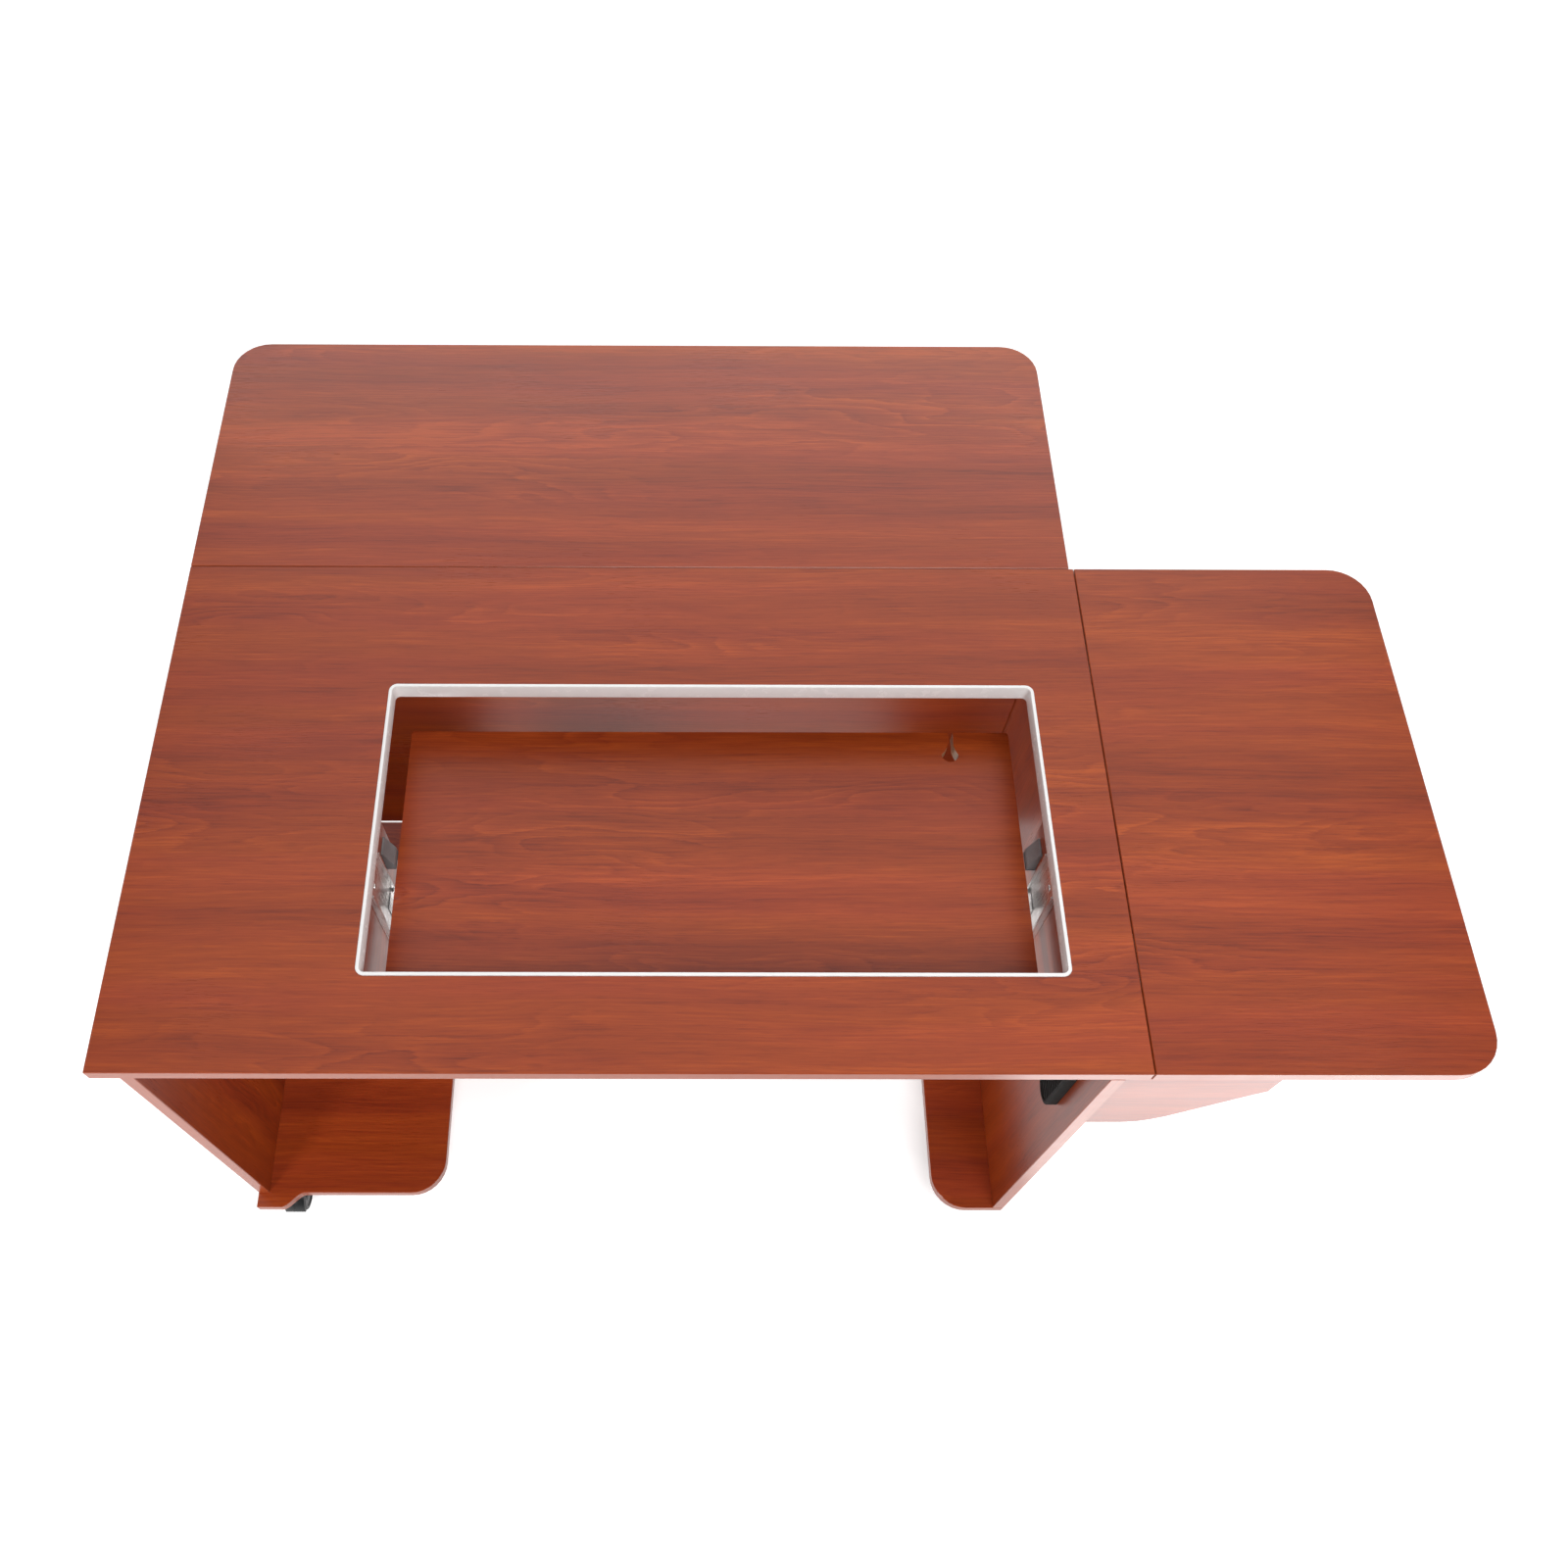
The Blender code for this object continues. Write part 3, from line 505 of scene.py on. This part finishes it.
def caster_hood(place, stand):
    """The hood over the wheels, with a web between them and a boss round the swivel stem."""
    hood = bmesh.new()
    inner, outer, half, soft = WHEEL + 0.0013, WHEEL + 0.0040, HALF_GAP + WIDTH, 0.0009
    section = [(inner, half), (outer - soft, half), (outer - soft * 0.3, half - soft * 0.3)]
    section += [(outer, half - soft), (outer, 0.0004), (outer - 0.0004, 0.0)]
    section += [(r, -x) for r, x in section[-2::-1]]
    start, end, steps = math.radians(8), math.radians(172), 40
    rows = []
    for i in range(steps + 1):
        angle = start + (end - start) * i / steps
        row = [Vector((x, TRAIL + r * math.cos(angle), WHEEL + r * math.sin(angle))) for r, x in section]
        rows.append([hood.verts.new(stand @ p) for p in row])
    bridge(hood, rows)
    hood.faces.new(rows[0])
    hood.faces.new(rows[-1])

    reach, half_foot, foot, half_web = 0.0272, 0.006, 0.014, 0.0034
    angles = [math.radians(v) for v in range(-20, 201, 10)]
    web = [(TRAIL + reach * math.cos(a), WHEEL + reach * math.sin(a)) for a in angles]
    web += [(TRAIL - half_foot, foot), (TRAIL + half_foot, foot)]
    sideways = Matrix(((0, 0, 1, 0), (1, 0, 0, 0), (0, 1, 0, 0), (0, 0, 0, 1)))
    plate(hood, web, -half_web, half_web, stand @ sideways, 0.0008)
    boss = [(0.0105, 0.0425), (0.0105, 0.0552), (0.0098, 0.0562), (0.0044, 0.0565)]
    turned(hood, boss, stand)
    body, old = f"caster_{place}", f"caster_housing_{place}"
    piece(f"hood_{place}", finished("hood", hood, 30), BLACK, body, [old])


def caster_plate(place, low, high, axis):
    """The square plate under the board, with its swivel cup and four screws."""
    half, corner_radius, thickness, screw_place = 0.021, 0.005, 0.0104, 0.0155
    top = bmesh.new()
    corners = [(p.x, p.y) for p, _ in rounded_path((-half, -half), (half, half), corner_radius, 6)]
    plate(top, corners, low.z + thickness, high.z, Matrix.Translation((axis.x, axis.y, 0)), 0.0005)
    cup = [(0.004, low.z + 0.001), (0.0118, low.z + 0.0098), (0.0118, low.z + 0.0106)]
    turned(top, cup, Matrix.Translation(axis))
    for x, y in ((-1, -1), (-1, 1), (1, -1), (1, 1)):
        spot = (axis.x + screw_place * x, axis.y + screw_place * y, low.z + thickness)
        screw_head(top, spot, (0, 0, -1), 0.0032)
    mesh, old = finished("swivel_plate", top, 40), f"caster_plate_{place}"
    piece(f"swivel_plate_{place}", mesh, STEEL_DARK, "cabinet", [old])


def casters():
    """Twin-wheel casters with a hood, hub caps and a screwed plate, each about its own swivel axis."""
    for place in ("front_left", "rear_left", "front_right", "rear_right"):
        low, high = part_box(f"caster_plate_{place}")
        wheel_low, wheel_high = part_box(f"caster_wheels_{place}")
        trails_forward = (wheel_low.y + wheel_high.y) < (low.y + high.y)
        axis = Vector(((low.x + high.x) / 2, (low.y + high.y) / 2, 0))
        turn = Matrix.Rotation(math.pi if trails_forward else 0, 4, "Z")
        stand = Matrix.Translation(axis) @ turn
        caster_wheels(place, stand)
        caster_hood(place, stand)
        caster_plate(place, low, high, axis)


def hinge_screws():
    """Three screws in each rear hinge leaf, and rows of screws in the support hinge that never meet."""
    for place in ("left", "middle", "right"):
        for half, body in (("top", "cabinet"), ("leaf", "rear_leaf_body")):
            low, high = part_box(f"rear_hinge_{place}_{half}_half")
            edge = low.y + 0.010 if half == "top" else high.y - 0.010
            inner = low.y + 0.026 if half == "top" else high.y - 0.026
            x = (low.x + high.x) / 2
            z = high.z - 0.0016
            spots = [(x - 0.020, edge, z), (x + 0.020, edge, z), (x, inner, z)]
            screws(f"hinge_screws_{place}_{half}", body, spots, (0, 0, -1), 0.0038)
    for half, body, direction in (("panel", "cabinet", (1, 0, 0)), ("board", "support_body", (0, 1, 0))):
        low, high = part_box(f"support_hinge_{half}_half")
        shares = (0.08, 0.36, 0.64, 0.92) if half == "panel" else (0.22, 0.50, 0.78)
        heights = [low.z + (high.z - low.z) * share for share in shares]
        if half == "panel":
            spots = [(low.x + 0.0015, high.y - 0.010, z) for z in heights]
        else:
            spots = [(high.x - 0.010, low.y + 0.0015, z) for z in heights]
        screws(f"support_hinge_screws_{half}", body, spots, direction, 0.0034)


def lift_screws():
    """Screws in each side's rail, carriage and gas spring clamp."""
    for side, inward in (("left", 1), ("right", -1)):
        low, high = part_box(f"lift_rail_{side}")
        x = low.x + 0.002 if inward > 0 else high.x - 0.002
        spots = [(x, (low.y + high.y) / 2 - 0.006, high.z - d) for d in (0.020, 0.205, 0.355)]
        screws(f"rail_screws_{side}", "cabinet", spots, (inward, 0, 0), 0.0040)
        low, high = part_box(f"lift_carriage_{side}")
        z = high.z - 0.0025
        near = (low.x + high.x) / 2 + 0.008 * inward
        spots = [(near + a, b, z) for a in (-0.014, 0.014) for b in (low.y + 0.010, high.y - 0.010)]
        screws(f"carriage_screws_{side}", "platform_body", spots, (0, 0, -1), 0.0040)
        low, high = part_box(f"gas_clamp_{side}")
        spots = [((low.x + high.x) / 2 - 0.014 * inward, low.y, low.z + v) for v in (0.010, 0.030)]
        screws(f"clamp_screws_{side}", "cabinet", spots, (0, -1, 0), 0.0032)


def joint_caps():
    """Round cover caps on the side panels' outer faces, level with the base boards."""
    cap = [(0.0060, -0.0001), (0.0062, 0.0003), (0.0058, 0.0008), (0.0040, 0.0010), (0.0, 0.0010)]
    from_end, from_bottom = 0.060, 0.022
    shape = bmesh.new()
    for name, normal in (("left_side_panel", -1), ("right_side_panel", 1)):
        low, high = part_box(name)
        x = low.x if normal < 0 else high.x
        for y in (low.y + from_end, (low.y + high.y) / 2, high.y - from_end):
            turned(shape, cap, facing((normal, 0, 0), (x, y, low.z + from_bottom)), 32)
    piece("joint_caps", finished("joint_caps", shape), CAP, "cabinet")


def corner_blocks():
    """Screwed blocks in the corners between the side panels and the top."""
    size, half_length, gap = 0.020, 0.016, 0.0002
    under = TOP_LOW.z
    shape = bmesh.new()
    for name, side in (("left_side_panel", 1), ("right_side_panel", -1)):
        low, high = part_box(name)
        x = high.x if side > 0 else low.x
        for y in (low.y + 0.120, (low.y + high.y) / 2, high.y - 0.090):
            ends = sorted((x + gap * side, x + size * side))
            block_low = (ends[0], y - half_length, under - size)
            block_high = (ends[1], y + half_length, under - gap)
            soft_box(shape, block_low, block_high, 0.0012)
            screw_head(shape, (x + 0.0112 * side, y, under - 0.0198), (0, 0, -1), 0.0036)
            screw_head(shape, (x + 0.0198 * side, y, under - 0.0110), (side, 0, 0), 0.0036)
    piece("corner_blocks", finished("corner_blocks", shape, 40), GREY, "cabinet")


def stadium(half_height, half_width, steps=20):
    """The outline of a long oval: half circles on two straight sides."""
    straight = half_height - half_width
    points = []
    for centre, start in ((straight, -90), (-straight, 90)):
        for i in range(steps + 1):
            angle = math.radians(start + 180 * i / steps)
            points.append((centre + half_width * math.cos(angle), half_width * math.sin(angle)))
    return points


def cable_cover():
    """The long oval cover on the right panel: a rounded rim round a sunken face with fine ribs."""
    low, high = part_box("cable_port_cover")
    half_w, half_h = (high.y - low.y) / 2, (high.z - low.z) / 2
    middle = Vector((high.x, (low.y + high.y) / 2, (low.z + high.z) / 2))
    stand = Matrix.Translation(middle) @ Matrix(((0, 0, -1, 0), (0, 1, 0, 0), (1, 0, 0, 0), (0, 0, 0, 1)))
    depth = high.x - low.x
    shape = bmesh.new()
    levels = ((0.0, 0.0), (0.0, depth - 0.0020), (0.0006, depth - 0.0006), (0.0020, depth), (0.0036, depth))
    levels += ((0.0048, depth - 0.0005), (0.0054, depth - 0.0018))
    rings = []
    for inset, height in levels:
        ring = stadium(half_h - inset, half_w - inset)
        rings.append([shape.verts.new(stand @ Vector((*p, height))) for p in ring])
    bridge(shape, rings)
    shape.faces.new(rings[0])
    shape.faces.new(rings[-1])

    pitch, half_rib, rim, shortest = 0.0078, 0.0011, 0.0066, 0.004
    for i in range(-9, 10):
        z = i * pitch
        reach = half_w - rim
        beyond = abs(z) - (half_h - half_w)
        if beyond > 0:
            reach = math.sqrt(max(0.0, reach**2 - beyond**2))
        if reach > shortest:
            rib_low = stand @ Vector((z - half_rib, -reach, depth - 0.0030))
            rib_high = stand @ Vector((z + half_rib, reach, depth - 0.0009))
            lows = [min(a, b) for a, b in zip(rib_low, rib_high)]
            highs = [max(a, b) for a, b in zip(rib_low, rib_high)]
            soft_box(shape, lows, highs, 0.0006, 2)
    mesh = finished("cover_face", shape, 30)
    piece("cover_face", mesh, COVER, "cabinet", ["cable_port_cover"])


# Stage


def look_rotation(pitch, yaw, roll):
    """A camera turned down by pitch from level, then left by yaw, then rolled, in degrees."""
    pitch, yaw, roll = (math.radians(v) for v in (pitch, yaw, roll))
    level = Matrix.Rotation(yaw, 4, "Z") @ Matrix.Rotation(math.pi / 2 - pitch, 4, "X")
    return level @ Matrix.Rotation(roll, 4, "Z")


def camera():
    """The camera, in front of the table and high above it, placed from the top's front left corner."""
    data = bpy.data.cameras.new("camera")
    data.sensor_width = 36.0
    data.lens = 31.94
    data.shift_x = 0.0588
    data.clip_end = 60.0
    obj = bpy.data.objects.new("camera", data)
    obj.matrix_world = Matrix.Translation(at(0.6267, -0.4270, -1.4176)) @ look_rotation(61.46, -0.55, 0.62)
    bpy.context.scene.collection.objects.link(obj)
    bpy.context.scene.camera = obj


def area_light(name, place, target, size, power):
    """A white softbox of this width and height, in metres, turned to face its target."""
    data = bpy.data.lights.new(name, "AREA")
    data.shape = "RECTANGLE"
    data.size, data.size_y = size
    data.energy = power
    obj = bpy.data.objects.new(name, data)
    obj.location = place
    direction = Vector(target) - Vector(place)
    obj.rotation_euler = direction.to_track_quat("-Z", "Y").to_euler()
    bpy.context.scene.collection.objects.link(obj)


def floor():
    """A white floor that shows white to the camera and in gloss, but throws little light back up."""
    shape = bmesh.new()
    bmesh.ops.create_grid(shape, x_segments=1, y_segments=1, size=14.0)
    obj = bpy.data.objects.new("floor", finished("floor", shape))
    g = Graph("floor_white", Roughness=0.9)
    shade = g.noise(g.object_space(), 2.0, 0.5, 0.8)
    bounce = g.add("ShaderNodeLightPath").outputs["Is Diffuse Ray"]
    white = g.ramp(shade, ((0.0, 0.84), (1.0, 0.88)))
    g.put(g.shader.inputs["Base Color"], g.mix(bounce, white, (0.20, 0.20, 0.20, 1.0)))
    g.put(g.shader.inputs["Emission Color"], (1.0, 1.0, 1.0, 1.0))
    g.put(g.shader.inputs["Emission Strength"], g.spread(bounce, 0.50, 0.04))
    obj.data.materials.append(g.material)
    bpy.context.scene.collection.objects.link(obj)


def backdrop():
    """A pale surround to the camera, and only a faint one to the light that reaches the table."""
    world = bpy.data.worlds.new("studio")
    world.use_nodes = True
    nodes = world.node_tree.nodes
    seen = nodes.new("ShaderNodeLightPath").outputs["Is Camera Ray"]
    strength = nodes.new("ShaderNodeMapRange")
    strength.inputs["To Min"].default_value = 0.09
    strength.inputs["To Max"].default_value = 0.95
    world.node_tree.links.new(seen, strength.inputs["Value"])
    world.node_tree.links.new(strength.outputs[0], nodes["Background"].inputs["Strength"])
    nodes["Background"].inputs["Color"].default_value = (1.0, 1.0, 1.0, 1.0)
    bpy.context.scene.world = world


def stage():
    """Floor, surround and lights. floor_glow lies on the floor in front of the support board."""
    floor()
    backdrop()
    area_light("key", (0.30, -1.95, 2.95), (0.15, 0.00, 0.70), (1.8, 1.4), 61)
    area_light("overhead", (0.25, 2.0, 4.2), (0.25, 1.2, 0.7), (5.6, 3.8), 60)
    area_light("floor_glow", (0.90, -0.95, 0.004), (0.90, -0.95, 1.0), (1.0, 0.7), 4.4)
    area_light("cyclorama", (0.3, 4.4, 3.0), (0.1, 0.4, 1.0), (6.2, 3.2), 122)
    area_light("low_left", (-1.75, -2.05, 0.62), (-0.6, -0.3, 0.2), (0.5, 0.3), 27)
    area_light("low_right", (2.05, -1.95, 0.62), (0.4, -0.4, 0.2), (0.5, 0.3), 12)
    bpy.context.scene.view_settings.view_transform = "Standard"


def main():
    camera()
    stage()
    paint_frame()
    trim_frame()
    casters()
    hinge_screws()
    lift_screws()
    joint_caps()
    corner_blocks()
    cable_cover()


main()
